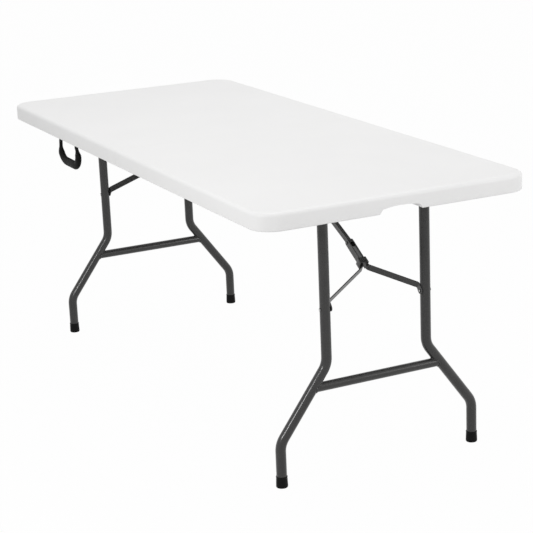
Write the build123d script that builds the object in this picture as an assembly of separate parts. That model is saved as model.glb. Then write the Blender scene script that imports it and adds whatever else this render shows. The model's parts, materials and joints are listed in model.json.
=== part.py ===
from build123d import *
from math import cos, radians, sin
import os

# Folding table with a top in two halves, millimetres, +Z up, the floor at z = 0.
# The seam between the halves is the plane x = 0. The near half lies on +X, the far half on -X,
# and left is -Y. Everything at one end is built on +X and mirrored for the far end.

# Tabletop
TABLE_LENGTH = 1800.0
TABLE_WIDTH = 760.0
TABLE_HEIGHT = 745.0
RIM_DEPTH = 45.0
RIM_WIDTH = 18.0
PLATE_THICKNESS = 13.5
CORNER_RADIUS = 62.0
TOP_EDGE_RADIUS = 10.0
LOWER_EDGE_RADIUS = 3.0
SEAM_GAP = 0.5
SEAM_LIP = 8.0
NOTCH_WIDTH = 122.0
NOTCH_DEPTH = 12.0
NOTCH_RISE = 5.0
# How far the notch's ends lean in, at the outer and the inner face of the rim
NOTCH_OUTER_LEAN = 8.0
NOTCH_INNER_LEAN = 26.0
NOTCH_CORNER_RADIUS = 5.0

# Fits
RUNNING_CLEARANCE = 0.08
SEATED_CLEARANCE = 0.04
SIDE_GAP = 0.3
# How far a cut runs past the face that it opens
CUT_OVERRUN = 1.0

# Side rails and the bushes in them
RAIL_INSET = 35.0
RAIL_DEPTH = 30.0
RAIL_FLANGE = 22.0
RAIL_WALL = 1.5
RAIL_SETBACK = 14.0
RAIL_OVERHANG = 30.0
BUSH_WALL = 2.0
BUSH_FLANGE = 2.0
BUSH_FLANGE_THICKNESS = 1.5
BUSH_STANDOUT = 1.0

# Leg frames
NEAR_FRAME_INSET = 135.0
FAR_FRAME_INSET = 170.0
LEG_DIAMETER = 27.0
LEG_WALL = 1.5
PANEL_CLEARANCE = 3.0
PIVOT_TUBE_DIAMETER = 19.0
PIVOT_TUBE_WALL = 1.5
PIVOT_TUBE_OVERHANG = 6.0
END_PLUG_LIP = 2.5
END_PLUG_THICKNESS = 1.5
END_PLUG_DEPTH = 12.0
LEG_SPREAD_TOP = 292.0
FOOT_INSET = 96.0
UPPER_BEND_HEIGHT = 300.0
LOWER_BEND_HEIGHT = 114.0
LEG_BEND_RADIUS = 55.0
CROSSBAR_DIAMETER = 24.0
CROSSBAR_WALL = 1.5
CROSSBAR_HEIGHT = 244.0
CAP_DIAMETER = 30.6
CAP_HEIGHT = 30.0
CAP_FLOOR = 3.0
CAP_EDGE_RADIUS = 2.0

# Braces
ANCHOR_REACH = 443.0
ANCHOR_DROP = 19.5
LINK_SLOPE = 25.15
LINK_WIDTH = 10.0
LINK_HEIGHT = 18.0
LINK_WALL = 1.5
LINK_CORNER_RADIUS = 3.0
LINK_END = 7.5
BRACE_HEIGHT = 445.0
STRIP_WIDTH = 18.0
STRIP_THICKNESS = 2.5
STRIP_BEND_RADIUS = 9.0
FORK_REACH = 50.5
FORK_HEIGHT = 516.5
TAB_LENGTH = 16.0
PIN_DIAMETER = 6.0
RIVET_HEAD_DIAMETER = 9.0
RIVET_HEAD_HEIGHT = 1.4
# The share of a head's height over which its edge is rounded
HEAD_ROUNDING = 0.45

# Lock rings
RING_LENGTH = 18.0
RING_WALL = 4.0
RING_CORNER_RADIUS = 4.6
RING_SETBACK = 7.0

# Link brackets and the screws in the panels
BRACKET_LENGTH = 60.0
BRACKET_WIDTH = 52.0
BRACKET_WALL = 2.0
BRACKET_EAR_RADIUS = 8.0
BRACKET_EAR_LENGTH = 24.0
SCREW_DIAMETER = 4.0
SCREW_HEAD_DIAMETER = 8.0
SCREW_HEAD_HEIGHT = 2.4
SCREW_LENGTH = 9.0
SCREW_EDGE_DISTANCE = 9.0
RAIL_SCREWS = 5

# Centre hinge
HINGE_EAR_RADIUS = 8.0
HINGE_PLATE_LENGTH = 62.0
HINGE_PLATE_HEIGHT = 23.0
HINGE_PLATE_WALL = 2.0
HINGE_PIN_DIAMETER = 6.0
HINGE_PIN_HEAD_DIAMETER = 12.0
HINGE_RIVETS = 3
HINGE_RIVET_DIAMETER = 4.0
HINGE_RIVET_HEAD_DIAMETER = 8.0
HINGE_RIVET_HEAD_HEIGHT = 1.2
HINGE_SIDE_PLAY = 0.2
HINGE_SLOT_MARGIN = 6.0

# Carrying handle
HANDLE_DISTANCE = 404.0
HANDLE_SPACING = 132.0
HANDLE_SPREAD = 152.0
HANDLE_DROP = 63.0
HANDLE_SHOULDER = 32.0
HANDLE_BEND_RADIUS = 30.0
GRIP_HEIGHT = 26.0
GRIP_THICKNESS = 18.0
NECK_WIDTH = 10.5
NECK_THICKNESS = 6.0
NECK_LENGTH = 9.0
HANDLE_PIN_DIAMETER = 3.0
HANDLE_PIN_LENGTH = 24.0
HANDLE_PIN_HEIGHT = 4.0
HANDLE_SLOT_WIDTH = 14.0
HANDLE_SLOT_THICKNESS = 12.0
HANDLE_SLOT_DEPTH = 14.0

# Levels and planes that several pieces share
UNDERSIDE = TABLE_HEIGHT - PLATE_THICKNESS
RIM_BOTTOM = TABLE_HEIGHT - RIM_DEPTH
HALF_LENGTH = TABLE_LENGTH / 2
HALF_WIDTH = TABLE_WIDTH / 2
LEG_SPREAD_FOOT = TABLE_WIDTH - 2 * FOOT_INSET
PIVOT_HEIGHT = UNDERSIDE - PANEL_CLEARANCE - LEG_DIAMETER / 2
RAIL_FACE = HALF_WIDTH - RAIL_INSET
RAIL_INNER_FACE = RAIL_FACE - RAIL_WALL
SCREW_PITCH_LINE = RAIL_FACE - RAIL_WALL - (RAIL_FLANGE - RAIL_WALL) / 2
PIVOT_HALF_LENGTH = RAIL_FACE + PIVOT_TUBE_OVERHANG
LINK_HALF = LINK_WIDTH / 2
STRIP_INNER_FACE = LINK_HALF + SIDE_GAP
STRIP_OUTER_FACE = STRIP_INNER_FACE + STRIP_THICKNESS
LEG_INNER_FACE = LEG_SPREAD_TOP / 2 - LEG_DIAMETER / 2
LEG_OUTER_FACE = LEG_SPREAD_TOP / 2 + LEG_DIAMETER / 2
TAB_OUTER_FACE = LEG_INNER_FACE - SIDE_GAP
HANDLE_LINE = -(HALF_WIDTH - RIM_WIDTH / 2)


def box(x, y, z):
    """A box from three pairs of lowest and highest values."""
    size = [high - low for low, high in (x, y, z)]
    centre = [(low + high) / 2 for low, high in (x, y, z)]
    return Pos(*centre) * Box(*size)


def rod(start, end, radius):
    """A round bar between two points."""
    start, end = Vector(*start), Vector(*end)
    plane = Plane(origin=start, z_dir=end - start)
    return extrude(plane * Circle(radius), (end - start).length)


def across(x, z, y_start, y_end, radius):
    """A round bar along Y."""
    return rod((x, y_start, z), (x, y_end, z), radius)


def headed(x, z, y_head, y_end, radius, head_radius, head_height):
    """A rivet or pin along Y, with its head starting at y_head and its shank running to y_end."""
    outward = 1 if y_head > y_end else -1
    y_top = y_head + outward * head_height
    head = across(x, z, y_head, y_top, head_radius)
    crown = head.faces().sort_by(Axis.Y)[-1 if outward > 0 else 0]
    head = fillet(crown.edges(), head_height * HEAD_ROUNDING)
    return head + across(x, z, y_head, y_end, radius)


def side_plate(outline, y_low, y_high):
    """A flat plate along the XZ plane, from a sketch whose axes are X and Z."""
    plane = Plane(origin=(0, y_low, 0), x_dir=(1, 0, 0), z_dir=(0, -1, 0))
    return extrude(plane * outline, -(y_high - y_low))


def ear_outline(x, z, radius, far_box):
    """The hull of a round ear and a rectangle, as a sketch in X and Z."""
    (x_low, x_high), (z_low, z_high) = far_box
    ear = Pos(x, z) * Circle(radius)
    root = Pos((x_low + x_high) / 2, (z_low + z_high) / 2) * Rectangle(x_high - x_low, z_high - z_low)
    return make_hull([*ear.edges(), *root.edges()])


class End:
    """The places that depend on how far a leg frame stands from the end of the table."""

    def __init__(self, name, frame_inset):
        self.name = name
        self.leg_x = HALF_LENGTH - frame_inset
        self.anchor = Vector(self.leg_x - ANCHOR_REACH, 0, UNDERSIDE - ANCHOR_DROP)
        self.foot_pin = Vector(self.leg_x, 0, BRACE_HEIGHT)
        self.fork = Vector(self.leg_x - FORK_REACH, 0, FORK_HEIGHT)
        # Folded, the foot pin lies level with the leg pivot, and the link and strips lie in one
        # line through it. That fixes where the knee is on the open link.
        folded_pin = Vector(self.leg_x - (PIVOT_HEIGHT - BRACE_HEIGHT), 0, PIVOT_HEIGHT)
        folded_reach = (folded_pin - self.anchor).length
        self.link_run = Vector(cos(radians(LINK_SLOPE)), 0, -sin(radians(LINK_SLOPE)))
        span = self.foot_pin - self.anchor
        link = (span.dot(span) - folded_reach**2) / (2 * (span.dot(self.link_run) - folded_reach))
        self.knee = self.anchor + self.link_run * link
        self.strip_run = (self.fork - self.knee).normalized()
        self.strip_rise = Vector(-self.strip_run.Z, 0, self.strip_run.X)

    def rail_start(self):
        return RAIL_SETBACK

    def rail_end(self):
        return self.leg_x + RAIL_OVERHANG


def screw_places(end):
    """Where screws go up into the panel: along both rails, and at the corners of the bracket."""
    first = end.rail_start() + HINGE_PLATE_LENGTH / 2
    last = end.rail_end() - SCREW_EDGE_DISTANCE
    step = (last - first) / (RAIL_SCREWS - 1)
    places = [
        (first + step * i, side * SCREW_PITCH_LINE, RAIL_WALL)
        for i in range(RAIL_SCREWS)
        for side in (-1, 1)
    ]
    x_low = end.anchor.X - BRACKET_EAR_RADIUS + SCREW_EDGE_DISTANCE
    x_high = end.anchor.X - BRACKET_EAR_RADIUS + BRACKET_LENGTH - SCREW_EDGE_DISTANCE
    y_screw = BRACKET_WIDTH / 2 - SCREW_EDGE_DISTANCE
    places += [
        (x, side * y_screw, BRACKET_WALL)
        for x in (x_low, x_high)
        for side in (-1, 1)
    ]
    return places


def screw_hole(x, y, z_low, z_high):
    """The room for one screw's shank."""
    return rod((x, y, z_low), (x, y, z_high), SCREW_DIAMETER / 2 + SEATED_CLEARANCE)


def notch_outline(x, lean):
    """The outline of the end's finger notch in the plane at x, with its ends leaning in."""
    foot = NOTCH_WIDTH / 2
    top = foot - lean
    z_low, z_high = RIM_BOTTOM - CUT_OVERRUN, RIM_BOTTOM + NOTCH_DEPTH
    left = [(-top, z_high), (-foot, RIM_BOTTOM), (-foot, z_low)]
    right = [(foot, z_low), (foot, RIM_BOTTOM), (top, z_high)]
    arch = ThreePointArc((top, z_high), (0, z_high + NOTCH_RISE), (-top, z_high))
    outline = Polyline(*left, *right) + arch
    face = make_face(outline.edges())
    corners = [vertex for vertex in face.vertices() if abs(vertex.Y - z_high) < SEATED_CLEARANCE]
    plane = Plane(origin=(x, 0, 0), x_dir=(0, 1, 0), z_dir=(1, 0, 0))
    return plane * fillet(corners, NOTCH_CORNER_RADIUS)


def notch():
    """The arched finger notch in the lower edge of the outer end, with scooped ends."""
    inner = notch_outline(HALF_LENGTH - RIM_WIDTH - CUT_OVERRUN, NOTCH_INNER_LEAN)
    outer = notch_outline(HALF_LENGTH + CUT_OVERRUN, NOTCH_OUTER_LEAN)
    return loft([inner, outer], ruled=True)


def panel(end):
    """One half of the top: a plate with a deep rim on its three outer sides and a lip at the seam."""
    outline = RectangleRounded(TABLE_LENGTH, TABLE_WIDTH, CORNER_RADIUS)
    slab = extrude(Pos(0, 0, RIM_BOTTOM) * outline, RIM_DEPTH)
    slab = fillet(slab.faces().sort_by(Axis.Z)[-1].edges(), TOP_EDGE_RADIUS)
    slab = fillet(slab.faces().sort_by(Axis.Z)[0].edges(), LOWER_EDGE_RADIUS)
    beyond = HALF_LENGTH + CUT_OVERRUN
    half = slab & box((SEAM_GAP / 2, beyond), (-beyond, beyond), (0, beyond))
    inner = RectangleRounded(
        TABLE_LENGTH - 2 * RIM_WIDTH, TABLE_WIDTH - 2 * RIM_WIDTH, CORNER_RADIUS - RIM_WIDTH
    )
    cavity = extrude(Pos(0, 0, RIM_BOTTOM - CUT_OVERRUN) * inner, UNDERSIDE - RIM_BOTTOM + CUT_OVERRUN)
    lip_face = SEAM_GAP / 2 + SEAM_LIP
    cavity &= box((lip_face, beyond), (-beyond, beyond), (0, beyond))
    half -= cavity
    slot_low = RAIL_INNER_FACE - HINGE_SLOT_MARGIN
    slot_high = RAIL_FACE + HINGE_PLATE_WALL + HINGE_SLOT_MARGIN
    for y in ((slot_low, slot_high), (-slot_high, -slot_low)):
        half -= box((0, lip_face + CUT_OVERRUN), y, (RIM_BOTTOM - CUT_OVERRUN, UNDERSIDE))
    half -= notch()
    for x, y, wall in screw_places(end):
        half -= screw_hole(x, y, RIM_BOTTOM, UNDERSIDE - wall + SCREW_LENGTH)
    return half


def rail(end, side):
    """An angle rail under one long side, with a bushed hole for the leg pivot."""
    x = (end.rail_start(), end.rail_end())
    face = RAIL_FACE - (HINGE_SIDE_PLAY if end.name == "far" else 0)
    inner = face - RAIL_WALL
    web = box(x, (inner, face), (UNDERSIDE - RAIL_DEPTH, UNDERSIDE))
    flange = box(x, (face - RAIL_FLANGE, face), (UNDERSIDE - RAIL_WALL, UNDERSIDE))
    angle = web + flange
    cut = (inner - CUT_OVERRUN, face + CUT_OVERRUN)
    if end.name == "far":
        root = ((x[0], x[0] + RAIL_DEPTH), (UNDERSIDE - RAIL_DEPTH, UNDERSIDE))
        outline = ear_outline(0, RIM_BOTTOM, HINGE_EAR_RADIUS, root)
        angle += side_plate(outline, inner, face)
        hinge_hole = HINGE_PIN_DIAMETER / 2 + RUNNING_CLEARANCE
        angle -= across(0, RIM_BOTTOM, *cut, hinge_hole)
    bush_radius = PIVOT_TUBE_DIAMETER / 2 + BUSH_WALL
    angle -= across(end.leg_x, PIVOT_HEIGHT, *cut, bush_radius + SEATED_CLEARANCE)
    for x_screw, y_screw, wall in screw_places(end):
        if y_screw > RAIL_INNER_FACE - RAIL_FLANGE:
            angle -= screw_hole(x_screw, y_screw, UNDERSIDE - RAIL_DEPTH, UNDERSIDE + CUT_OVERRUN)
    if end.name == "near":
        for x_rivet, z_rivet in hinge_rivet_places():
            angle -= across(x_rivet, z_rivet, *cut, HINGE_RIVET_DIAMETER / 2 + SEATED_CLEARANCE)
    return angle if side > 0 else mirror(angle, about=Plane.XZ)


def bush(end, side):
    """A flanged plastic bush between the rail and the pivot tube."""
    face = RAIL_FACE - (HINGE_SIDE_PLAY if end.name == "far" else 0)
    inner = face - RAIL_WALL
    outer = RAIL_FACE + BUSH_STANDOUT
    bore = PIVOT_TUBE_DIAMETER / 2 + RUNNING_CLEARANCE
    barrel = PIVOT_TUBE_DIAMETER / 2 + BUSH_WALL
    ring = across(end.leg_x, PIVOT_HEIGHT, inner, outer, barrel)
    flange = inner - BUSH_FLANGE_THICKNESS
    ring += across(end.leg_x, PIVOT_HEIGHT, flange, inner, barrel + BUSH_FLANGE)
    ring -= across(end.leg_x, PIVOT_HEIGHT, flange - CUT_OVERRUN, outer + CUT_OVERRUN, bore)
    return ring if side > 0 else mirror(ring, about=Plane.XZ)


def panel_screws(end):
    """All the pan-head screws under one half."""
    screws = []
    for x, y, wall in screw_places(end):
        seat = UNDERSIDE - wall
        head = rod((x, y, seat - SCREW_HEAD_HEIGHT), (x, y, seat), SCREW_HEAD_DIAMETER / 2)
        head = fillet(head.faces().sort_by(Axis.Z)[0].edges(), SCREW_HEAD_HEIGHT * HEAD_ROUNDING)
        screws.append(head + rod((x, y, seat), (x, y, seat + SCREW_LENGTH), SCREW_DIAMETER / 2))
    return screws


def link_bracket(end):
    """The folded bracket that holds the top pin of the link."""
    a = end.anchor
    x_low = a.X - BRACKET_EAR_RADIUS
    seat = UNDERSIDE - BRACKET_WALL
    half = BRACKET_WIDTH / 2
    bracket = box((x_low, x_low + BRACKET_LENGTH), (-half, half), (seat, UNDERSIDE))
    root = ((x_low, x_low + BRACKET_EAR_LENGTH), (seat, UNDERSIDE))
    outline = ear_outline(a.X, a.Z, BRACKET_EAR_RADIUS, root)
    for side in (-1, 1):
        faces = sorted((side * STRIP_INNER_FACE, side * (STRIP_INNER_FACE + BRACKET_WALL)))
        bracket += side_plate(outline, *faces)
    outer = STRIP_INNER_FACE + BRACKET_WALL + CUT_OVERRUN
    bracket -= across(a.X, a.Z, -outer, outer, PIN_DIAMETER / 2 + SEATED_CLEARANCE)
    for x, y, wall in screw_places(end):
        if abs(y) < half:
            bracket -= screw_hole(x, y, seat - CUT_OVERRUN, UNDERSIDE + CUT_OVERRUN)
    return bracket


def link_pin(end):
    """The riveted pin through the bracket's ears and the link."""
    a = end.anchor
    face = STRIP_INNER_FACE + BRACKET_WALL
    radii = (PIN_DIAMETER / 2, RIVET_HEAD_DIAMETER / 2, RIVET_HEAD_HEIGHT)
    return headed(a.X, a.Z, face, 0, *radii) + headed(a.X, a.Z, -face, 0, *radii)


def upper_link(end):
    """The hollow upper link, open at both ends, with its pin holes through both sides."""
    run = end.link_run
    start = end.anchor - run * LINK_END
    length = (end.knee - end.anchor).length + 2 * LINK_END
    plane = Plane(origin=start, x_dir=(0, 1, 0), z_dir=run)
    outside = plane * RectangleRounded(LINK_WIDTH, LINK_HEIGHT, LINK_CORNER_RADIUS)
    inside = plane * RectangleRounded(
        LINK_WIDTH - 2 * LINK_WALL, LINK_HEIGHT - 2 * LINK_WALL, LINK_CORNER_RADIUS - LINK_WALL
    )
    link = extrude(outside, length) - extrude(inside, length)
    for place in (end.anchor, end.knee):
        link -= across(place.X, place.Z, -LINK_WIDTH, LINK_WIDTH, PIN_DIAMETER / 2 + RUNNING_CLEARANCE)
    return link


def leg_path(end, side):
    """The centre line of a leg, from just over its top down into its foot cap."""
    top, foot = side * LEG_SPREAD_TOP / 2, side * LEG_SPREAD_FOOT / 2
    return FilletPolyline(
        (end.leg_x, top, PIVOT_HEIGHT + LEG_DIAMETER / 2 + CUT_OVERRUN),
        (end.leg_x, top, UPPER_BEND_HEIGHT),
        (end.leg_x, foot, LOWER_BEND_HEIGHT),
        (end.leg_x, foot, CAP_FLOOR),
        radius=LEG_BEND_RADIUS,
    )


def leg_solid(end, side, radius):
    """A bar of the given radius along a leg's centre line."""
    path = leg_path(end, side)
    plane = Plane(origin=path @ 0, x_dir=(1, 0, 0), z_dir=path % 0)
    return sweep(plane * Circle(radius), path=path)


def leg(end, side):
    """A bent leg tube, its top rounded about the pivot, with holes for the pivot tube and rivet."""
    radius = LEG_DIAMETER / 2
    tube = leg_solid(end, side, radius) - leg_solid(end, side, radius - LEG_WALL)
    y = side * LEG_SPREAD_TOP / 2
    y_span = (y - LEG_DIAMETER, y + LEG_DIAMETER)
    x_span = (end.leg_x - LEG_DIAMETER, end.leg_x + LEG_DIAMETER)
    above = box(x_span, y_span, (PIVOT_HEIGHT, PIVOT_HEIGHT + LEG_DIAMETER))
    tube -= above - across(end.leg_x, PIVOT_HEIGHT, *y_span, radius)
    tube -= across(end.leg_x, PIVOT_HEIGHT, *y_span, PIVOT_TUBE_DIAMETER / 2)
    tube -= across(end.leg_x, BRACE_HEIGHT, *y_span, PIN_DIAMETER / 2 + SEATED_CLEARANCE)
    return tube


def pivot_tube(end):
    """The cross tube that both legs are welded to, which turns in the rails' bushes."""
    span = (-PIVOT_HALF_LENGTH, PIVOT_HALF_LENGTH)
    tube = across(end.leg_x, PIVOT_HEIGHT, *span, PIVOT_TUBE_DIAMETER / 2)
    return tube - across(end.leg_x, PIVOT_HEIGHT, *span, PIVOT_TUBE_DIAMETER / 2 - PIVOT_TUBE_WALL)


def pivot_end_plugs(end):
    """Plugs in the ends of the pivot tube, wider than the bushes, which keep it in place."""
    plugs = []
    bore = PIVOT_TUBE_DIAMETER / 2 - PIVOT_TUBE_WALL - SEATED_CLEARANCE
    for side in (-1, 1):
        face = side * PIVOT_HALF_LENGTH
        plug = headed(
            end.leg_x,
            PIVOT_HEIGHT,
            face,
            face - side * END_PLUG_DEPTH,
            bore,
            PIVOT_TUBE_DIAMETER / 2 + END_PLUG_LIP,
            END_PLUG_THICKNESS,
        )
        plugs.append(plug)
    return plugs


def crossbar(end):
    """The stretcher between the diagonals, its ends shaped to the legs."""
    slope = (LEG_SPREAD_FOOT - LEG_SPREAD_TOP) / 2 / (UPPER_BEND_HEIGHT - LOWER_BEND_HEIGHT)
    reach = LEG_SPREAD_TOP / 2 + slope * (UPPER_BEND_HEIGHT - CROSSBAR_HEIGHT)
    radius = CROSSBAR_DIAMETER / 2
    bar = across(end.leg_x, CROSSBAR_HEIGHT, -reach, reach, radius)
    bar -= across(end.leg_x, CROSSBAR_HEIGHT, -reach, reach, radius - CROSSBAR_WALL)
    for side in (-1, 1):
        bar -= leg_solid(end, side, LEG_DIAMETER / 2)
    # only the middle length is the bar: what is left inside a leg's far side is not
    return max(bar.solids(), key=lambda solid: solid.volume)


def foot_cap(end, side):
    """A plastic cap on the foot of a leg."""
    y = side * LEG_SPREAD_FOOT / 2
    cap = rod((end.leg_x, y, 0), (end.leg_x, y, CAP_HEIGHT), CAP_DIAMETER / 2)
    cap = fillet(cap.faces().sort_by(Axis.Z)[0].edges(), CAP_EDGE_RADIUS)
    bore = LEG_DIAMETER / 2 + SEATED_CLEARANCE
    return cap - rod((end.leg_x, y, CAP_FLOOR), (end.leg_x, y, CAP_HEIGHT + CUT_OVERRUN), bore)


def square_to(direction, run):
    """A unit vector as near to a direction as it can be while square to a run."""
    return (direction - run * direction.dot(run)).normalized()


def strip_section(centre, run, rise):
    """The strip's rectangular section at one point of its centre line."""
    plane = Plane(origin=centre, x_dir=rise, z_dir=run)
    return plane * Rectangle(STRIP_WIDTH, STRIP_THICKNESS)


def brace_strip(end, side):
    """One flat strip: beside the link at the knee, bent out at the fork, flat on the leg."""
    y_knee = side * (STRIP_INNER_FACE + STRIP_THICKNESS / 2)
    y_leg = side * (TAB_OUTER_FACE - STRIP_THICKNESS / 2)
    tab_run = (end.foot_pin - end.fork).normalized()
    tab_rise = Vector(-tab_run.Z, 0, tab_run.X)
    knee = end.knee + Vector(0, y_knee, 0)
    fork = end.fork + Vector(0, y_knee, 0)
    pin = end.foot_pin + Vector(0, y_leg, 0)
    tab = pin - tab_run * TAB_LENGTH
    path = FilletPolyline(knee, fork, tab, pin, radius=STRIP_BEND_RADIUS)
    first_bend, second_bend = path.edges()[1], path.edges()[3]
    arm_rise = square_to(end.strip_rise, first_bend % 1)
    steps = [0, 0.25, 0.5, 0.75, 1]
    sections = []
    for t in steps:
        run = first_bend % t
        sections.append(strip_section(first_bend @ t, run, square_to(end.strip_rise, run)))
    for t in steps:
        run = second_bend % t
        rise = square_to(arm_rise * (1 - t) + tab_rise * t, run)
        sections.append(strip_section(second_bend @ t, run, rise))
    strip = loft(sections, ruled=True)
    for place, start in ((knee, first_bend @ 0), (pin, second_bend @ 1)):
        run = (start - place).normalized()
        plane = Plane(origin=place, x_dir=run, z_dir=(0, 1, 0))
        length = (start - place).length
        outline = Circle(STRIP_WIDTH / 2) + Pos(length / 2, 0) * Rectangle(length, STRIP_WIDTH)
        strip += extrude(plane * outline, STRIP_THICKNESS / 2, both=True)
    y_span = sorted((y_knee - STRIP_THICKNESS, y_knee + STRIP_THICKNESS))
    strip -= across(knee.X, knee.Z, *y_span, PIN_DIAMETER / 2 + SEATED_CLEARANCE)
    y_span = sorted((y_leg - STRIP_THICKNESS, y_leg + STRIP_THICKNESS))
    strip -= across(pin.X, pin.Z, *y_span, PIN_DIAMETER / 2 + RUNNING_CLEARANCE)
    return strip


def knee_rivets(end):
    """The two halves of the knee rivet. They end at the strips' inner faces."""
    radii = (PIN_DIAMETER / 2, RIVET_HEAD_DIAMETER / 2, RIVET_HEAD_HEIGHT)
    return [
        headed(end.knee.X, end.knee.Z, side * STRIP_OUTER_FACE, side * STRIP_INNER_FACE, *radii)
        for side in (-1, 1)
    ]


def leg_rivets(end):
    """A rivet through each leg and the tab of its strip, headed on both sides."""
    rivets = []
    x, z = end.leg_x, BRACE_HEIGHT
    radii = (PIN_DIAMETER / 2, RIVET_HEAD_DIAMETER / 2, RIVET_HEAD_HEIGHT)
    middle = LEG_SPREAD_TOP / 2
    outer = LEG_OUTER_FACE
    inner = TAB_OUTER_FACE - STRIP_THICKNESS - SIDE_GAP
    for side in (-1, 1):
        rivet = headed(x, z, side * outer, side * middle, *radii)
        rivets.append(rivet + headed(x, z, side * inner, side * middle, *radii))
    return rivets


def lock_ring(end):
    """The ring that slides on the two strips, slit underneath for the folded link."""
    wide = 2 * (STRIP_OUTER_FACE + SIDE_GAP)
    high = STRIP_WIDTH + 2 * SIDE_GAP
    reach = (end.fork - end.knee).length - RING_SETBACK - RING_LENGTH
    plane = Plane(origin=end.knee + end.strip_run * reach, x_dir=(0, 1, 0), z_dir=end.strip_run)
    outside = RectangleRounded(wide + 2 * RING_WALL, high + 2 * RING_WALL, RING_CORNER_RADIUS)
    inside = RectangleRounded(wide, high, RING_CORNER_RADIUS - RING_WALL)
    downward = 1 if plane.y_dir.Z < 0 else -1
    slit_depth = high / 2 + RING_WALL + CUT_OVERRUN
    slit = Pos(0, downward * slit_depth / 2) * Rectangle(LINK_WIDTH + 2 * SIDE_GAP, slit_depth)
    return extrude(plane * (outside - inside - slit), RING_LENGTH)


def hinge_rivet_places():
    """Where the near hinge plates are riveted to the near rails."""
    first = RAIL_SETBACK + SCREW_EDGE_DISTANCE
    last = HINGE_PLATE_LENGTH - SCREW_EDGE_DISTANCE
    step = (last - first) / (HINGE_RIVETS - 1)
    z = UNDERSIDE - RAIL_DEPTH / 2
    return [(first + step * i, z) for i in range(HINGE_RIVETS)]


def hinge_plate(side):
    """The plate riveted to a near rail, which laps the eye of the far rail."""
    z_mid = UNDERSIDE - RAIL_DEPTH / 2
    root = (
        (RAIL_SETBACK + HINGE_EAR_RADIUS, HINGE_PLATE_LENGTH),
        (z_mid - HINGE_PLATE_HEIGHT / 2, z_mid + HINGE_PLATE_HEIGHT / 2),
    )
    outline = ear_outline(0, RIM_BOTTOM, HINGE_EAR_RADIUS, root)
    outer = RAIL_FACE + HINGE_PLATE_WALL
    plate = side_plate(outline, RAIL_FACE, outer)
    cut = (RAIL_FACE - CUT_OVERRUN, outer + CUT_OVERRUN)
    plate -= across(0, RIM_BOTTOM, *cut, HINGE_PIN_DIAMETER / 2 + SEATED_CLEARANCE)
    for x, z in hinge_rivet_places():
        plate -= across(x, z, *cut, HINGE_RIVET_DIAMETER / 2 + SEATED_CLEARANCE)
    return plate if side > 0 else mirror(plate, about=Plane.XZ)


def hinge_pin(side):
    """The pin through the near plate and the far rail's eye, headed on both sides."""
    outer = RAIL_FACE + HINGE_PLATE_WALL
    inner = RAIL_INNER_FACE - 2 * HINGE_SIDE_PLAY
    radii = (HINGE_PIN_DIAMETER / 2, HINGE_PIN_HEAD_DIAMETER / 2, RIVET_HEAD_HEIGHT)
    pin = headed(0, RIM_BOTTOM, outer, RAIL_FACE, *radii)
    pin += headed(0, RIM_BOTTOM, inner, RAIL_FACE, *radii)
    return pin if side > 0 else mirror(pin, about=Plane.XZ)


def hinge_rivets():
    """The rivets that hold both hinge plates to the near rails."""
    outer = RAIL_FACE + HINGE_PLATE_WALL
    radii = (HINGE_RIVET_DIAMETER / 2, HINGE_RIVET_HEAD_DIAMETER / 2, HINGE_RIVET_HEAD_HEIGHT)
    rivets = []
    for x, z in hinge_rivet_places():
        rivet = headed(x, z, outer, RAIL_FACE, *radii)
        rivet += headed(x, z, RAIL_INNER_FACE, RAIL_FACE, *radii)
        rivets += [rivet, mirror(rivet, about=Plane.XZ)]
    return rivets


def handle_slots():
    """The pockets in the rim for the handle's necks, and the holes for its pins."""
    slots = []
    for side in (-1, 1):
        x = HANDLE_DISTANCE + side * HANDLE_SPACING / 2
        half_width, half_thickness = HANDLE_SLOT_WIDTH / 2, HANDLE_SLOT_THICKNESS / 2
        slots.append(
            box(
                (x - half_width, x + half_width),
                (HANDLE_LINE - half_thickness, HANDLE_LINE + half_thickness),
                (RIM_BOTTOM - CUT_OVERRUN, RIM_BOTTOM + HANDLE_SLOT_DEPTH),
            )
        )
        slots.append(handle_pin_bar(x, HANDLE_PIN_DIAMETER / 2 + SEATED_CLEARANCE))
    return slots


def handle_pin_bar(x, radius):
    """A bar along X on the handle's axis, centred on x."""
    z = RIM_BOTTOM + HANDLE_PIN_HEIGHT
    half = HANDLE_PIN_LENGTH / 2
    return rod((x - half, HANDLE_LINE, z), (x + half, HANDLE_LINE, z), radius)


def handle_pins():
    """The two pins in the rim that the handle hangs on."""
    return [
        handle_pin_bar(HANDLE_DISTANCE + side * HANDLE_SPACING / 2, HANDLE_PIN_DIAMETER / 2)
        for side in (-1, 1)
    ]


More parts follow.
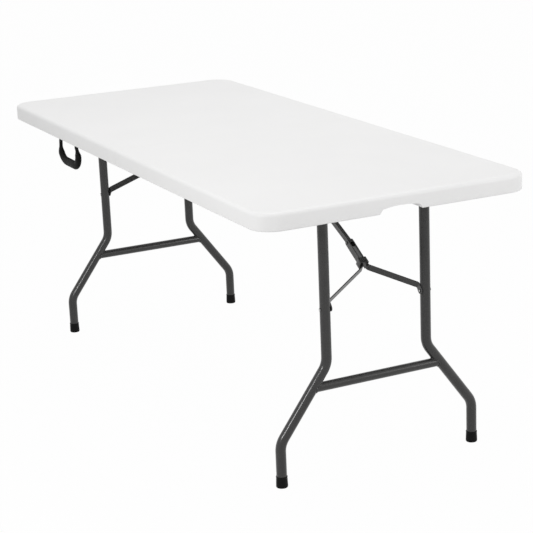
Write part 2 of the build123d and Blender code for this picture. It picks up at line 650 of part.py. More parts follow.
def handle():
    """The carrying handle: a thick oval grip on two narrow necks."""
    shoulder_z = RIM_BOTTOM - HANDLE_SHOULDER
    bottom_z = RIM_BOTTOM - HANDLE_DROP
    half = HANDLE_SPREAD / 2
    places = [(-half, shoulder_z), (-half, bottom_z), (half, bottom_z), (half, shoulder_z)]
    points = [(HANDLE_DISTANCE + x, HANDLE_LINE, z) for x, z in places]
    path = FilletPolyline(*points, radius=HANDLE_BEND_RADIUS)
    plane = Plane(origin=path @ 0, x_dir=(1, 0, 0), z_dir=path % 0)
    grip = sweep(plane * Ellipse(GRIP_HEIGHT / 2, GRIP_THICKNESS / 2), path=path)
    pin_z = RIM_BOTTOM + HANDLE_PIN_HEIGHT
    neck_z = RIM_BOTTOM - NECK_LENGTH
    half_width, half_thickness = NECK_WIDTH / 2, NECK_THICKNESS / 2
    for side in (-1, 1):
        x = HANDLE_DISTANCE + side * HANDLE_SPACING / 2
        shoulder_x = HANDLE_DISTANCE + side * half
        wide = Pos(shoulder_x, HANDLE_LINE, shoulder_z) * Ellipse(GRIP_HEIGHT / 2, GRIP_THICKNESS / 2)
        narrow = Pos(x, HANDLE_LINE, neck_z) * Ellipse(half_width, half_thickness)
        grip += loft([wide, narrow])
        x_span = (x - half_width, x + half_width)
        y_span = (HANDLE_LINE - half_thickness, HANDLE_LINE + half_thickness)
        grip += box(x_span, y_span, (neck_z, pin_z))
        grip += rod((x_span[0], HANDLE_LINE, pin_z), (x_span[1], HANDLE_LINE, pin_z), half_thickness)
        grip -= handle_pin_bar(x, HANDLE_PIN_DIAMETER / 2 + RUNNING_CLEARANCE)
    return grip


def pieces(end):
    """Every piece at one end of the table, by name, as it is on +X."""
    named = {
        "top": panel(end),
        "panel_screws": panel_screws(end),
        "link_bracket": link_bracket(end),
        "link_pin": link_pin(end),
        "upper_link": upper_link(end),
        "pivot_tube": pivot_tube(end),
        "pivot_end_plugs": pivot_end_plugs(end),
        "crossbar": crossbar(end),
        "knee_rivets": knee_rivets(end),
        "leg_rivets": leg_rivets(end),
        "lock_ring": lock_ring(end),
    }
    for side, hand in ((-1, "left"), (1, "right")):
        named[f"rail_{hand}"] = rail(end, side)
        named[f"pivot_bush_{hand}"] = bush(end, side)
        named[f"leg_{hand}"] = leg(end, side)
        named[f"foot_cap_{hand}"] = foot_cap(end, side)
        named[f"brace_strip_{hand}"] = brace_strip(end, side)
    return named


def save(name, shape):
    """Write one node. A list of solids becomes one group."""
    solids = shape if isinstance(shape, list) else [shape]
    solids = [solid for item in solids for solid in item.solids()]
    node = solids[0] if len(solids) == 1 else Compound(children=solids)
    node.label = name
    export_step(node, f"parts/{name}.step")


def main():
    os.makedirs("parts", exist_ok=True)
    near, far = End("near", NEAR_FRAME_INSET), End("far", FAR_FRAME_INSET)
    nodes = {f"near_{name}": shape for name, shape in pieces(near).items()}
    far_pieces = pieces(far)
    for slot in handle_slots():
        far_pieces["top"] -= slot
    far_pieces["handle"] = handle()
    far_pieces["handle_pins"] = handle_pins()
    for name, shape in far_pieces.items():
        solids = shape if isinstance(shape, list) else [shape]
        nodes[f"far_{name}"] = [mirror(solid, about=Plane.YZ) for solid in solids]
    for side, hand in ((-1, "left"), (1, "right")):
        nodes[f"hinge_plate_{hand}"] = hinge_plate(side)
        nodes[f"hinge_pin_{hand}"] = hinge_pin(side)
    nodes["hinge_rivets"] = hinge_rivets()
    for name, shape in nodes.items():
        save(name, shape)


main()
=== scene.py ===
import json
from math import cos, pi, radians, sin

import bmesh
import bpy
from mathutils import Matrix, Quaternion, Vector


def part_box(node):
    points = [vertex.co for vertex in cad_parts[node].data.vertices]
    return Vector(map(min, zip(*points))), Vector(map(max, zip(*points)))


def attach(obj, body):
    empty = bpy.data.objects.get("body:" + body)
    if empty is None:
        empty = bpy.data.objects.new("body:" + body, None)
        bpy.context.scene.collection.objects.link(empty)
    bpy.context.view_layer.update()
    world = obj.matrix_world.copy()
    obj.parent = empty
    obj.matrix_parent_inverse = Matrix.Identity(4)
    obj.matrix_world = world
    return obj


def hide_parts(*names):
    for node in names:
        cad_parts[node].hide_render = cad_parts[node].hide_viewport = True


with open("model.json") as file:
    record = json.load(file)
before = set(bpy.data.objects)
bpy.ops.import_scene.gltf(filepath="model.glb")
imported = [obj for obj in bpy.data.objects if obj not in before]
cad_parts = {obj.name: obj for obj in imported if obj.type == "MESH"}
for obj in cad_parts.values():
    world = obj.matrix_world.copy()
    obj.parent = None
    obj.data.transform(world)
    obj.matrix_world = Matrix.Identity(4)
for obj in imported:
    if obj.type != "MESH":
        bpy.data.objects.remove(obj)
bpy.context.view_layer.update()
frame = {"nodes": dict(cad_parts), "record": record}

MM = 0.001


def middle(node):
    """The middle of a frame node's box."""
    low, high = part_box(node)
    return (Vector(low) + Vector(high)) / 2


def reach(node, axis):
    """Half of a frame node's length along one axis."""
    low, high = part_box(node)
    return (high[axis] - low[axis]) / 2


# Sizes in metres, most of them read from the frame
TOP_THICKNESS = 13.5 * MM
RIM_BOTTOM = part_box("near_top")[0][2]
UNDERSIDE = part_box("near_top")[1][2] - TOP_THICKNESS
BRACE_HEIGHT = middle("near_leg_rivets").z
CROSSBAR_HEIGHT = middle("near_crossbar").z
PIVOT_HEIGHT = middle("near_pivot_tube").z
LEG_RADIUS = reach("near_leg_left", 0)
CROSSBAR_RADIUS = reach("near_crossbar", 0)
PIVOT_RADIUS = reach("near_pivot_tube", 0)
CAP_RADIUS = reach("near_foot_cap_left", 0)
CAP_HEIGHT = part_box("near_foot_cap_left")[1][2]
HANDLE_X = middle("far_handle").x
HANDLE_Y = middle("far_handle").y
# The legs' centre lines, which the welds follow
LEG_TOP_Y = 146 * MM
UPPER_BEND_HEIGHT = 300 * MM
DIAGONAL_RUN = Vector((0, 138, -186)).normalized()

# The view, in degrees, metres and the lens's millimetres
VIEW_AZIMUTH = 62.73
VIEW_ELEVATION = 16.529
VIEW_ROLL = -2.048
VIEW_DISTANCE = 4.8328
VIEW_AIM = Vector((0.0964, 0.1426, 0.3015))
VIEW_LENS = 111.62
VIEW_SENSOR = 36.0
VIEW_SHIFT = (-0.0700, 0.0287)


# ---------------------------------------------------------------- shader maths

class Wire:
    """One output of a shader node. A sum or product with another wire or a plain number adds a Math node."""

    def __init__(self, tree, socket):
        self.tree = tree
        self.socket = socket

    def __add__(self, other):
        return self.tree.maths("ADD", self, other)

    def __radd__(self, other):
        return self.tree.maths("ADD", other, self)

    def __mul__(self, other):
        return self.tree.maths("MULTIPLY", self, other)

    def __rmul__(self, other):
        return self.tree.maths("MULTIPLY", other, self)


class NodeTree:
    """The shader nodes of a material or world, all made in one way."""

    def __init__(self, owner):
        owner.use_nodes = True
        self.tree = owner.node_tree
        self.tree.nodes.clear()

    def node(self, kind, settings=None, inputs=None, output=0):
        """Make a node, fill in its settings and inputs, and give one output back where it has any."""
        made = self.tree.nodes.new(kind)
        for label, value in (settings or {}).items():
            if label == "stops":
                self.set_stops(made.color_ramp, value)
            else:
                setattr(made, label, value)
        for label, value in (inputs or {}).items():
            self.feed(made.inputs[label], value)
        return Wire(self, made.outputs[output]) if len(made.outputs) else None

    def maths(self, operation, first, second):
        return self.node("ShaderNodeMath", {"operation": operation}, {0: first, 1: second})

    def set_stops(self, ramp, stops):
        """A ramp's stops, given as places and greys."""
        while len(ramp.elements) < len(stops):
            ramp.elements.new(0.5)
        for element, (place, level) in zip(ramp.elements, stops):
            element.position = place
            element.color = grey(level)

    def feed(self, socket, value):
        """Link a wire to a socket, or set the socket to a plain value."""
        if isinstance(value, Wire):
            self.tree.links.new(value.socket, socket)
        else:
            socket.default_value = value

    def seen(self):
        """1 where the eye sees the surface straight, in a gloss or through glass, and 0 for other light."""
        rays = [
            self.node("ShaderNodeLightPath", output=f"Is {kind} Ray")
            for kind in ("Camera", "Glossy", "Transmission")
        ]
        first = self.maths("MAXIMUM", rays[0], rays[1])
        return self.maths("MAXIMUM", first, rays[2])


class Shader(NodeTree):
    """A material for a piece."""

    def __init__(self, name, **settings):
        self.material = bpy.data.materials.new(name)
        super().__init__(self.material)
        inputs = {label.replace("_", " "): value for label, value in settings.items()}
        closed = self.node("ShaderNodeBsdfPrincipled", {}, inputs)
        self.node("ShaderNodeOutputMaterial", {}, {"Surface": closed})
        self.surface = closed.socket.node

    def into(self, label, value):
        """Feed an input of the surface."""
        self.feed(self.surface.inputs[label], value)

    def place(self):
        """The point on the piece, in metres."""
        return self.node("ShaderNodeTexCoord", output="Object")

    def noise(self, place, scale, detail=2.0, roughness=0.5):
        """Cloudy noise from 0 to 1, with so many clouds to the metre."""
        inputs = {"Vector": place, "Scale": scale, "Detail": detail, "Roughness": roughness}
        return self.node("ShaderNodeTexNoise", {}, inputs, "Fac")

    def stretched(self, place, scale):
        """The place with its axes scaled apart, for grain and streaks."""
        return self.node("ShaderNodeMapping", {}, {"Vector": place, "Scale": scale})

    def ramp(self, value, stops):
        """A value turned into grey by a ramp's stops."""
        return self.node("ShaderNodeValToRGB", {"stops": stops}, {0: value})

    def mix(self, factor, first, second):
        """One colour turning into another."""
        inputs = {0: factor, 6: first, 7: second}
        return self.node("ShaderNodeMix", {"data_type": "RGBA"}, inputs, output=2)

    def bump(self, height, distance, strength):
        """Raise the surface by a height from 0 to 1, over a distance in metres."""
        inputs = {"Height": height, "Distance": distance, "Strength": strength}
        self.into("Normal", self.node("ShaderNodeBump", {}, inputs))


def grey(value, warmth=0.0):
    """A grey, pulled towards red and away from blue by its warmth."""
    return (value * (1 + warmth), value, value * (1 - warmth), 1.0)


# ------------------------------------------------------------------- finishes

def tabletop_plastic():
    """White blow-moulded polyethylene with a fine pebbled grain and faint scuffs."""
    shader = Shader("white_moulded_plastic", Roughness=0.42, Specular_IOR_Level=0.35)
    place = shader.place()
    clouds = shader.noise(place, 5.0, 4.0)
    shader.into("Base Color", shader.mix(clouds, grey(0.815, 0.003), grey(0.850, 0.003)))
    lengthways = shader.noise(shader.stretched(place, (3.0, 90.0, 90.0)), 4.0, 4.0)
    scuffs = shader.ramp(lengthways, [(0.58, 0.0), (0.75, 1.0)])
    shader.into("Roughness", 0.40 + 0.10 * shader.noise(place, 40.0) + 0.08 * scuffs)
    inputs = {"Vector": place, "Scale": 620.0}
    pebbles = shader.node("ShaderNodeTexVoronoi", {"feature": "SMOOTH_F1"}, inputs, "Distance")
    shader.bump(pebbles + 0.6 * shader.noise(place, 1400.0), 0.00014, 0.55)
    return shader.material


def charcoal_paint(name, low, high):
    """Semi-gloss charcoal powder coat: a fine silver fleck, random lighter and darker streaks along the
    tubes painted into the colour as reflections, and a slight orange peel.
    """
    shader = Shader(name, Roughness=0.30, Specular_IOR_Level=0.28, Coat_Weight=0.3, Coat_Roughness=0.10)
    place = shader.place()
    # Painted reflection: random lighter and darker streaks along the tubes in the base colour, standing in
    # for uneven reflections
    painted_reflection_streaks = shader.noise(shader.stretched(place, (60.0, 60.0, 2.5)), 1.0, 3.0, 0.6)
    fleck = shader.ramp(shader.noise(place, 1500.0, 2.0, 0.7), [(0.55, 0.0), (0.75, 1.0)])
    body = shader.mix(painted_reflection_streaks, grey(low, 0.02), grey(high, 0.02))
    shader.into("Base Color", shader.mix(0.5 * fleck, body, grey(0.16)))
    shader.into("Roughness", 0.22 + 0.15 * shader.noise(place, 60.0, 3.0))
    shader.bump(shader.noise(place, 420.0, 2.0), 0.0003, 0.3)
    return shader.material


def moulded_black(name, level, roughness, scale):
    """Black plastic or rubber with a fine tooth and a little dust in it."""
    shader = Shader(name, Roughness=roughness, Specular_IOR_Level=0.07)
    place = shader.place()
    dust = shader.ramp(shader.noise(place, 240.0, 4.0, 0.7), [(0.55, 0.0), (0.8, 1.0)])
    body = shader.mix(shader.noise(place, 90.0, 3.0), grey(level * 0.7), grey(level * 1.4))
    shader.into("Base Color", shader.mix(0.35 * dust, body, grey(level * 3.0)))
    shader.into("Roughness", roughness - 0.08 + 0.16 * shader.noise(place, 160.0))
    shader.bump(shader.noise(place, scale, 3.0), 0.0002, 0.35)
    return shader.material


def zinc_plate():
    """Bright zinc on rivets, pins and screws, dulled in patches."""
    shader = Shader("zinc_plate", Metallic=1.0, Roughness=0.3)
    place = shader.place()
    shader.into("Base Color", shader.mix(shader.noise(place, 300.0, 3.0), grey(0.42), grey(0.66)))
    shader.into("Roughness", 0.24 + 0.2 * shader.noise(place, 500.0, 3.0))
    shader.bump(shader.noise(place, 900.0), 0.0001, 0.3)
    return shader.material


def painted_rivet(name, x):
    """Rivet heads under the charcoal paint, worn bright on the crown out to a ragged edge."""
    shader = Shader(name, Roughness=0.3)
    place = shader.place()
    inputs = {0: place, 1: (1, 0, 1)}
    flat = shader.node("ShaderNodeVectorMath", {"operation": "MULTIPLY"}, inputs, "Vector")
    inputs = {0: flat, 1: (x, 0, BRACE_HEIGHT)}
    from_axis = shader.node("ShaderNodeVectorMath", {"operation": "DISTANCE"}, inputs, "Value")
    ragged = from_axis * (1 / MM) + 0.9 * shader.noise(place, 900.0, 3.0)
    worn = shader.ramp(ragged * 0.2, [(0.44, 1.0), (0.66, 0.0)])
    shader.into("Base Color", shader.mix(worn, grey(0.035), grey(0.72)))
    shader.into("Metallic", worn)
    shader.into("Roughness", 0.26 + 0.2 * shader.noise(place, 500.0, 3.0))
    shader.bump(shader.noise(place, 900.0), 0.0001, 0.3)
    return shader.material


FINISHES = {
    "tabletop": tabletop_plastic(),
    "frame_steel": charcoal_paint("charcoal_powder_coat", 0.014, 0.032),
    "foot_cap": moulded_black("cap_plastic", 0.006, 0.45, 700.0),
    "black_plastic": moulded_black("bush_plastic", 0.010, 0.5, 700.0),
    "handle_grip": moulded_black("grip_rubber", 0.005, 0.5, 1200.0),
    "lock_ring": charcoal_paint("ring_enamel", 0.008, 0.018),
    "zinc": zinc_plate(),
}


def dress_frame():
    """Give every piece of the frame the finish of its slot."""
    slots = {part["node"]: part["material_slot"] for part in frame["record"]["subparts"]}
    finishes = {name: FINISHES[slot] for name, slot in slots.items()}
    for end in ("near", "far"):
        finishes[f"{end}_leg_rivets"] = painted_rivet(f"{end}_worn_rivet", middle(f"{end}_crossbar").x)
        finishes[f"{end}_knee_rivets"] = FINISHES["frame_steel"]
    for name, piece in frame["nodes"].items():
        for slot in piece.material_slots:
            slot.material = finishes[name]


# --------------------------------------------------------------- mesh helpers

# The sides of round pieces, and the distances within which loose corners are joined
LATHE_STEPS = 48
GRIP_SIDES = 28
BEAD_SIDES = 8
MERGE_REACH = 0.002 * MM
LATHE_MERGE_REACH = 0.01 * MM
FIELD_MERGE_REACH = 0.05 * MM


def finish_piece(name, bm, finish, body, *replaced, sharp=38):
    """Turn a bmesh into a piece that rides on a body and stands for some of the frame's nodes."""
    for face in bm.faces:
        face.smooth = True
    for edge in bm.edges:
        edge.smooth = len(edge.link_faces) != 2 or edge.calc_face_angle() < radians(sharp)
    mesh = bpy.data.meshes.new(name)
    bm.to_mesh(mesh)
    bm.free()
    mesh.materials.append(FINISHES[finish])
    made = bpy.data.objects.new(name, mesh)
    bpy.context.scene.collection.objects.link(made)
    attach(made, body)
    if replaced:
        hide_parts(*replaced)


def merged_copy(node):
    """A frame node's mesh with its loose triangles joined."""
    bm = bmesh.new()
    bm.from_mesh(frame["nodes"][node].data)
    bmesh.ops.remove_doubles(bm, verts=bm.verts[:], dist=MERGE_REACH)
    return bm


def ring_edges(verts):
    """The edges that join the given vertices to each other."""
    chosen = set(verts)
    return [edge for edge in {e for v in verts for e in v.link_edges} if set(edge.verts) <= chosen]


def bevel(bm, edges, width, clamp=False):
    """Round edges off by a width, or by less where they would meet if it is clamped."""
    bmesh.ops.bevel(
        bm,
        geom=edges,
        offset=width,
        segments=2,
        profile=0.5,
        affect="EDGES",
        material=-1,
        clamp_overlap=clamp,
    )


def sweep(bm, stations, sides, closed=False):
    """Carry a circle through a list of frames. Each frame holds its place, its turn and its size."""
    verts = bmesh.ops.create_circle(bm, segments=sides, radius=1.0, matrix=stations[0])["verts"]
    first = edges = ring_edges(verts)
    for before, after in zip(stations, stations[1:]):
        grown = bmesh.ops.extrude_edge_only(bm, edges=edges)["geom"]
        verts = [item for item in grown if isinstance(item, bmesh.types.BMVert)]
        edges = ring_edges(verts)
        bmesh.ops.transform(bm, matrix=after @ before.inverted(), verts=verts)
    if closed:
        bmesh.ops.bridge_loops(bm, edges=first + edges)
    else:
        bmesh.ops.holes_fill(bm, edges=first + edges)


def station(place, run, across, wide, high):
    """A frame at a place, with Z along the run and X along the across direction."""
    run = run.normalized()
    side = (across - run * across.dot(run)).normalized()
    turn = Matrix((side, run.cross(side), run)).transposed().to_4x4()
    return Matrix.Translation(place) @ turn @ Matrix.Diagonal((wide, high, 1.0, 1.0))


def lathe(bm, profile, x, y):
    """Spin a profile of radii and heights round an upright axis."""
    verts = [bm.verts.new((x + radius, y, height)) for radius, height in profile]
    edges = [bm.edges.new(pair) for pair in zip(verts, verts[1:])]
    bmesh.ops.spin(
        bm,
        geom=verts + edges,
        cent=(x, y, 0),
        axis=(0, 0, 1),
        angle=2 * pi,
        steps=LATHE_STEPS,
        use_merge=True,
    )
    bmesh.ops.remove_doubles(bm, verts=bm.verts[:], dist=LATHE_MERGE_REACH)
    bmesh.ops.recalc_face_normals(bm, faces=bm.faces[:])


# ------------------------------------------------------------------ tabletop

# How near a corner must lie to the underside's level to belong to it
LEVEL_REACH = 0.02 * MM
FIELD_PITCH = Vector((48 * MM, 47 * MM, 0))
FIELD_START = Vector((34 * MM, 31 * MM, 0))
FIELD_COLUMNS, FIELD_ROWS = 17, 6
DIMPLE_SIDES = 16
# Radii and depths in millimetres, from the dimple's mouth up to its flat end
DIMPLE = [(13.5, 0.0), (12.6, 0.5), (11.0, 3.2), (9.6, 5.2), (8.2, 6.0)]


def dimple_cell(bm, corner):
    """The first square of the underside, with a round dimple pressed up into it."""
    centre = Matrix.Translation(corner + FIELD_PITCH / 2)
    turn = Matrix.Diagonal((*FIELD_PITCH[:2], 1, 1)) @ Matrix.Rotation(pi / 4, 4, "Z")
    bmesh.ops.create_circle(bm, segments=4, radius=2 ** -0.5, matrix=centre @ turn)
    bmesh.ops.subdivide_edges(bm, edges=bm.edges[:], cuts=3)
    outer = bm.edges[:]
    radius = DIMPLE[0][0] * MM
    ring = bmesh.ops.create_circle(bm, segments=DIMPLE_SIDES, radius=radius, matrix=centre)["verts"]
    inner = ring_edges(ring)
    bmesh.ops.bridge_loops(bm, edges=outer + inner)
    for (wide, _), (narrow, depth) in zip(DIMPLE, DIMPLE[1:]):
        grown = bmesh.ops.extrude_edge_only(bm, edges=inner)["geom"]
        ring = [item for item in grown if isinstance(item, bmesh.types.BMVert)]
        inner = ring_edges(ring)
        shrink = narrow / wide
        bmesh.ops.scale(bm, vec=(shrink, shrink, 1), verts=ring, space=centre.inverted())
        for vert in ring:
            vert.co.z = UNDERSIDE + depth * MM
    bmesh.ops.contextual_create(bm, geom=inner)


def dimple_field(bm, mirror):
    """A field of dimples under one half, on both sides of its flat middle strip."""
    dimple_cell(bm, FIELD_START + Vector((0, 0, UNDERSIDE)))
    for count, step in ((FIELD_COLUMNS, (FIELD_PITCH.x, 0, 0)), (FIELD_ROWS, (0, FIELD_PITCH.y, 0))):
        unit = bm.verts[:] + bm.edges[:] + bm.faces[:]
        for index in range(1, count):
            copy = bmesh.ops.duplicate(bm, geom=unit)["geom"]
            verts = [item for item in copy if isinstance(item, bmesh.types.BMVert)]
            bmesh.ops.translate(bm, vec=Vector(step) * index, verts=verts)
    copy = bmesh.ops.duplicate(bm, geom=bm.verts[:] + bm.edges[:] + bm.faces[:])["geom"]
    verts = [item for item in copy if isinstance(item, bmesh.types.BMVert)]
    bmesh.ops.scale(bm, vec=(1, -1, 1), verts=verts)
    if mirror:
        bmesh.ops.scale(bm, vec=(-1, 1, 1), verts=bm.verts[:])
    bmesh.ops.remove_doubles(bm, verts=bm.verts[:], dist=FIELD_MERGE_REACH)


def mould_top(end):
    """One half of the top, with its flat underside opened and closed again round fields of dimples."""
    bm = merged_copy(f"{end}_top")
    flat = [
        face for face in bm.faces
        if face.normal.z < -0.99 and all(abs(vert.co.z - UNDERSIDE) < LEVEL_REACH for vert in face.verts)
    ]
    bmesh.ops.delete(bm, geom=flat, context="FACES")
    field = bmesh.new()
    dimple_field(field, end == "far")
    sheet = bpy.data.meshes.new("field")
    field.to_mesh(sheet)
    field.free()
    bm.from_mesh(sheet)
    rims = [edge for edge in bm.edges if edge.is_boundary]
    bmesh.ops.triangle_fill(bm, edges=rims, use_beauty=True, use_dissolve=False, normal=(0, 0, -1))
    bmesh.ops.recalc_face_normals(bm, faces=bm.faces[:])
    finish_piece(f"{end}_moulded_top", bm, "tabletop", f"{end}_half", f"{end}_top")


# -------------------------------------------------------------------- handle

# In the loop's plane, millimetres across from its middle and down from the rim.
# -1 is the outer neck, away from the seam, and 1 is the inner neck.
ROOT_ACROSS = 66.0
GRIP_DROP, SHOULDER_DROP = 63.0, 32.0
BEND_RISE = GRIP_DROP - SHOULDER_DROP
NECK_WIDE, NECK_THICK = 13.6, 10.0
# The squared root is thinner than the neck, which leaves it room to turn in the rim's slot
ROOT_WIDE, ROOT_THICK, ROOT_LENGTH = 11.5, 7.2, 15.0
ROOT_MIDDLE_DROP, ROOT_EDGE = 4.0, 1.2
# The neck is as thin down to the drop, and reaches its own thickness over the taper
THIN_DROP, THIN_TAPER = 3.0, 2.8
GRIP_WIDE, GRIP_THICK = 26.0, 18.0
RIB_SHRINK = 0.93
# The grip has slid along its strap, so the outer neck is longer and its shoulder closer than the inner one
SHOULDER_ACROSS = {-1: 69.0, 1: 78.0}
BEND_ACROSS = {-1: 46.0, 1: 36.0}
SLEEVE_TOPS = {-1: -22.0, 1: -14.0}
SLEEVE_TAPERS = {-1: 24.0, 1: 18.0}
# The sections along each part of the loop's line
FLAT_STEPS, BEND_STEPS, NECK_STEPS = 10, 24, 11


def eased(share):
    """A share from 0 to 1 with a slow start and end."""
    return share * share * (3 - 2 * share)


def clamped(share):
    """A share kept between 0 and 1."""
    return min(1.0, max(0.0, share))


def loop_line(side):
    """The handle's centre line from its bottom middle out to one root, as places and runs."""
    shoulder, bend = SHOULDER_ACROSS[side], BEND_ACROSS[side]
    flat = shoulder - bend
    line = [((flat * step / FLAT_STEPS, -GRIP_DROP), (1, 0)) for step in range(1, FLAT_STEPS)]
    for step in range(BEND_STEPS + 1):
        turn = pi / 2 * step / BEND_STEPS
        spot = (flat + bend * sin(turn), -GRIP_DROP + BEND_RISE * (1 - cos(turn)))
        line.append((spot, (bend * cos(turn), BEND_RISE * sin(turn))))
    for step in range(1, NECK_STEPS + 1):
        share = step / NECK_STEPS
        across = shoulder + (ROOT_ACROSS - shoulder) * eased(share)
        line.append(((across, -SHOULDER_DROP * (1 - share)), (0, 1)))
    return line


def loop_size(height, side, ribbed):
    """Half the loop's width and thickness at a height: the narrow neck swells into the ribbed grip."""
    swell = eased(clamped((SLEEVE_TOPS[side] - height) / SLEEVE_TAPERS[side]))
    size = RIB_SHRINK if ribbed and swell == 1.0 else 1.0
    wide = NECK_WIDE + (GRIP_WIDE - NECK_WIDE) * swell
    neck = ROOT_THICK + (NECK_THICK - ROOT_THICK) * clamped((-THIN_DROP - height) / THIN_TAPER)
    thick = neck + (GRIP_THICK - neck) * swell
    return wide / 2 * size * MM, thick / 2 * size * MM


def loop_station(spot, run, side, ribbed):
    """The loop's section at one place on its line, on the outer or the inner side."""
    across, height = spot
    place = Vector((HANDLE_X + side * across * MM, HANDLE_Y, RIM_BOTTOM + height * MM))
    direction = Vector((run[0], 0, side * run[1])).normalized()
    across_loop = Vector((direction.z, 0, -direction.x))
    return station(place, direction, across_loop, *loop_size(height, side, ribbed))


def handle_loop():
    """The carrying handle: a ribbed grip on a strap with two narrow necks, each with a squared root."""
    inner = [loop_station(*point, 1, index % 2) for index, point in enumerate(loop_line(1))]
    outer = [loop_station(*point, -1, index % 2) for index, point in enumerate(loop_line(-1))]
    bottom = loop_station((0, -GRIP_DROP), (1, 0), 1, False)
    bm = bmesh.new()
    sweep(bm, outer[::-1] + [bottom] + inner, GRIP_SIDES)
    size = Matrix.Diagonal((ROOT_WIDE * MM, ROOT_THICK * MM, ROOT_LENGTH * MM, 1))
    for side in (-1, 1):
        place = (HANDLE_X + side * ROOT_ACROSS * MM, HANDLE_Y, RIM_BOTTOM - ROOT_MIDDLE_DROP * MM)
        block = bmesh.ops.create_cube(bm, size=1.0, matrix=Matrix.Translation(place) @ size)["verts"]
        bevel(bm, ring_edges(block), ROOT_EDGE * MM)
    bmesh.ops.recalc_face_normals(bm, faces=bm.faces[:])
    finish_piece("carrying_handle", bm, "handle_grip", "handle", "far_handle", sharp=60)


# ---------------------------------------------------------------- leg frames

# Radii and heights of the cap's grooved sole in millimetres
CAP_SOLE = [
    (0.0, 1.2), (6.0, 1.2), (6.6, 0.2), (8.4, 0.2), (9.0, 1.2), (10.6, 1.2), (11.2, 0.0), (13.2, 0.0),
]
# How far in from its widest the cap's side stands at each height, in a flare with a rolled lip
CAP_SIDE = [
    (1.1, 0.3), (0.4, 1.2), (0.1, 2.6), (0.0, 4.4), (0.1, 8.0), (0.35, 14.0), (0.6, 20.0), (0.85, 25.0),
    (0.95, 26.4), (0.55, 27.0), (0.45, 28.8), (0.8, 29.7), (1.2, 30.0),
]
# How far the cap's mouth reaches down inside its lip
CAP_MOUTH = 3 * MM
# A bead is a chain of ripples. Its size swings by so much round its mean, once in three steps.
BEAD_STEPS = 72
BEAD_SIZE, BEAD_SWING, BEAD_STRETCH = 1.7, 0.28, 1.15
BEAD_STANDOFF = 0.5 * MM


def foot_caps(end):
    """Flared foot caps with a rolled lip and a grooved sole."""
    for hand in ("left", "right"):
        sole = middle(f"{end}_foot_cap_{hand}")
        bm = bmesh.new()
        profile = [(radius * MM, height * MM) for radius, height in CAP_SOLE]
        profile += [(CAP_RADIUS - inset * MM, height * MM) for inset, height in CAP_SIDE]
        profile += [(LEG_RADIUS, CAP_HEIGHT), (LEG_RADIUS, CAP_HEIGHT - CAP_MOUTH)]
        lathe(bm, profile, sole.x, sole.y)
        name = f"{end}_flared_cap_{hand}"
        finish_piece(name, bm, "foot_cap", f"{end}_legs", f"{end}_foot_cap_{hand}", sharp=50)


def saddle(bar_radius, tube_run, turn):
    """How far from the tube's axis a bar along Y meets the tube, at one angle round the bar."""
    rise = bar_radius * sin(turn)
    slant, drop = tube_run.y, tube_run.z
    inside = (slant * drop * rise) ** 2 - drop**2 * (bar_radius**2 - (rise * drop) ** 2 - LEG_RADIUS**2)
    return slant * drop * rise / drop**2, inside**0.5 / drop**2


def weld_bead(bm, centre, bar_radius, tube_run, outward, phase):
    """A rippled bead round a bar where it meets a leg."""
    spots = []
    for index in range(BEAD_STEPS):
        turn = 2 * pi * index / BEAD_STEPS
        shift, half = saddle(bar_radius, tube_run, turn)
        y = centre.y + shift + outward * half
        out = Vector((cos(turn), 0, sin(turn)))
        spots.append((Vector((centre.x, y, centre.z)) + out * (bar_radius + BEAD_STANDOFF), out))
    frames = []
    for index, (spot, out) in enumerate(spots):
        run = spots[(index + 1) % BEAD_STEPS][0] - spots[index - 1][0]
        size = (BEAD_SIZE + BEAD_SWING * sin(index * pi * 2 / 3 + phase)) * MM
        frames.append(station(spot, run, out, size, size * BEAD_STRETCH))
    sweep(bm, frames, BEAD_SIDES, closed=True)


def weld_frame(end):
    """The beads that join the crossbar and the pivot tube to the legs."""
    bm = bmesh.new()
    x = middle(f"{end}_crossbar").x
    spread = LEG_TOP_Y + (UPPER_BEND_HEIGHT - CROSSBAR_HEIGHT) * DIAGONAL_RUN.y / -DIAGONAL_RUN.z
    for side in (-1, 1):
        joint = Vector((x, side * spread, CROSSBAR_HEIGHT))
        diagonal = Vector((0, side * DIAGONAL_RUN.y, DIAGONAL_RUN.z))
        weld_bead(bm, joint, CROSSBAR_RADIUS, diagonal, -side, side)
        for outward in (-1, 1):
            joint = Vector((x, side * LEG_TOP_Y, PIVOT_HEIGHT))
            weld_bead(bm, joint, PIVOT_RADIUS, Vector((0, 0, -1)), outward, 2 * outward + side)
    bmesh.ops.recalc_face_normals(bm, faces=bm.faces[:])
    finish_piece(f"{end}_welds", bm, "frame_steel", f"{end}_legs", sharp=80)


# ---------------------------------------------------------------- lock rings

RING_EDGE = 0.5 * MM
# Faces that meet at less than the first angle become one face. More than the second makes a sharp edge.
NEARLY_FLAT = radians(0.5)
SHARP = radians(50)


def soften(node, finish, body, width):
    """A frame piece again with its sharp edges broken."""
    bm = merged_copy(node)
    bmesh.ops.dissolve_limit(bm, angle_limit=NEARLY_FLAT, verts=bm.verts[:], edges=bm.edges[:])
    edges = [edge for edge in bm.edges if len(edge.link_faces) == 2 and edge.calc_face_angle() > SHARP]
    bevel(bm, edges, width, clamp=True)
    finish_piece(f"{node}_softened", bm, finish, body, node)


# ------------------------------------------------------------ floor and light

FLOOR_REACH = 30.0
# What the floor gives back to the light, and the share of plain white in how it looks
FLOOR_GREY, FLOOR_WHITENESS = 0.62, 0.98
ROOM_LIGHT = 0.60
# Each soft lamp's name, place, aim, size in metres and power in watts
LAMPS = (
    ("overhead_softbox", (-0.4, 0.4, 3.4), (-0.2, 0.1, 0.7), 2.8, 26.5),
    ("side_softbox", (1.5, -2.7, 1.7), (0.4, -0.3, 0.5), 0.7, 29.5),
    ("end_softbox", (3.2, 2.4, 1.4), (0.8, 0.3, 0.6), 1.2, 38.0),
)


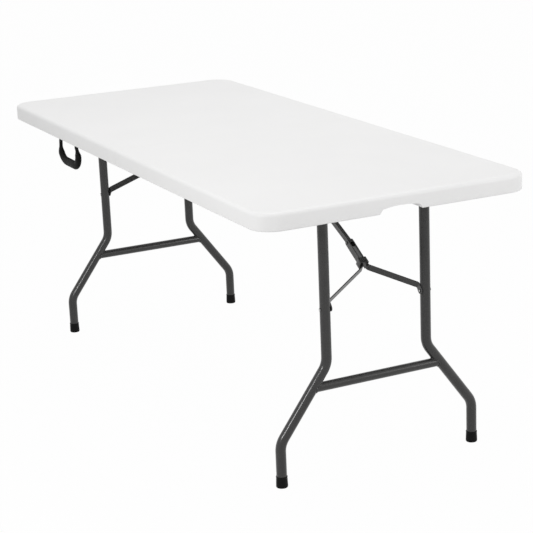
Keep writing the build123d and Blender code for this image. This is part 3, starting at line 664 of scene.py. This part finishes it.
def floor_material():
    """A white floor that shows as the white ground, and still takes the table's shadow."""
    material = bpy.data.materials.new("floor_white")
    tree = NodeTree(material)
    lit = tree.node("ShaderNodeBsdfDiffuse", {}, {"Color": grey(FLOOR_GREY)})
    white = tree.node("ShaderNodeEmission", {}, {"Color": grey(1.0)})
    shown = tree.node("ShaderNodeMixShader", {}, {0: FLOOR_WHITENESS * tree.seen(), 1: lit, 2: white})
    tree.node("ShaderNodeOutputMaterial", {}, {"Surface": shown})
    return material


def lay_floor():
    """The wide floor that the table stands on."""
    bm = bmesh.new()
    bmesh.ops.create_grid(bm, x_segments=1, y_segments=1, size=FLOOR_REACH)
    floor = bpy.data.objects.new("floor", bpy.data.meshes.new("floor"))
    bm.to_mesh(floor.data)
    bm.free()
    floor.data.materials.append(floor_material())
    bpy.context.scene.collection.objects.link(floor)


def add_lamp(name, place, aim, size, power):
    """A round soft lamp that points from its place at its aim."""
    lamp = bpy.data.lights.new(name, "AREA")
    lamp.shape = "DISK"
    lamp.size = size
    lamp.energy = power
    holder = bpy.data.objects.new(name, lamp)
    holder.location = place
    holder.rotation_euler = (Vector(aim) - Vector(place)).to_track_quat("-Z", "Y").to_euler()
    bpy.context.scene.collection.objects.link(holder)


def light_room():
    """Soft light from all round and from three lamps, with plain white where the room itself is seen."""
    scene = bpy.context.scene
    scene.view_settings.view_transform = "Standard"
    scene.world = bpy.data.worlds.new("studio")
    tree = NodeTree(scene.world)
    ambient = tree.node("ShaderNodeBackground", {}, {"Color": grey(1.0), "Strength": ROOM_LIGHT})
    white = tree.node("ShaderNodeBackground", {}, {"Color": grey(1.0), "Strength": 1.0})
    shown = tree.node("ShaderNodeMixShader", {}, {0: tree.seen(), 1: ambient, 2: white})
    tree.node("ShaderNodeOutputWorld", {}, {"Surface": shown})
    for lamp in LAMPS:
        add_lamp(*lamp)


def place_camera():
    """The camera on its sphere round the aim."""
    azimuth, elevation = radians(VIEW_AZIMUTH), radians(VIEW_ELEVATION)
    back = Vector((sin(azimuth) * cos(elevation), -cos(azimuth) * cos(elevation), sin(elevation)))
    lens = bpy.data.cameras.new("camera")
    lens.lens = VIEW_LENS
    lens.sensor_width = VIEW_SENSOR
    lens.shift_x, lens.shift_y = VIEW_SHIFT
    camera = bpy.data.objects.new("camera", lens)
    camera.rotation_mode = "QUATERNION"
    camera.rotation_quaternion = back.to_track_quat("Z", "Y") @ Quaternion((0, 0, 1), radians(VIEW_ROLL))
    camera.location = VIEW_AIM + back * VIEW_DISTANCE
    bpy.context.scene.collection.objects.link(camera)
    bpy.context.scene.camera = camera


dress_frame()
for end in ("near", "far"):
    mould_top(end)
    foot_caps(end)
    weld_frame(end)
    soften(f"{end}_lock_ring", "lock_ring", f"{end}_ring", RING_EDGE)
handle_loop()
lay_floor()
light_room()
place_camera()
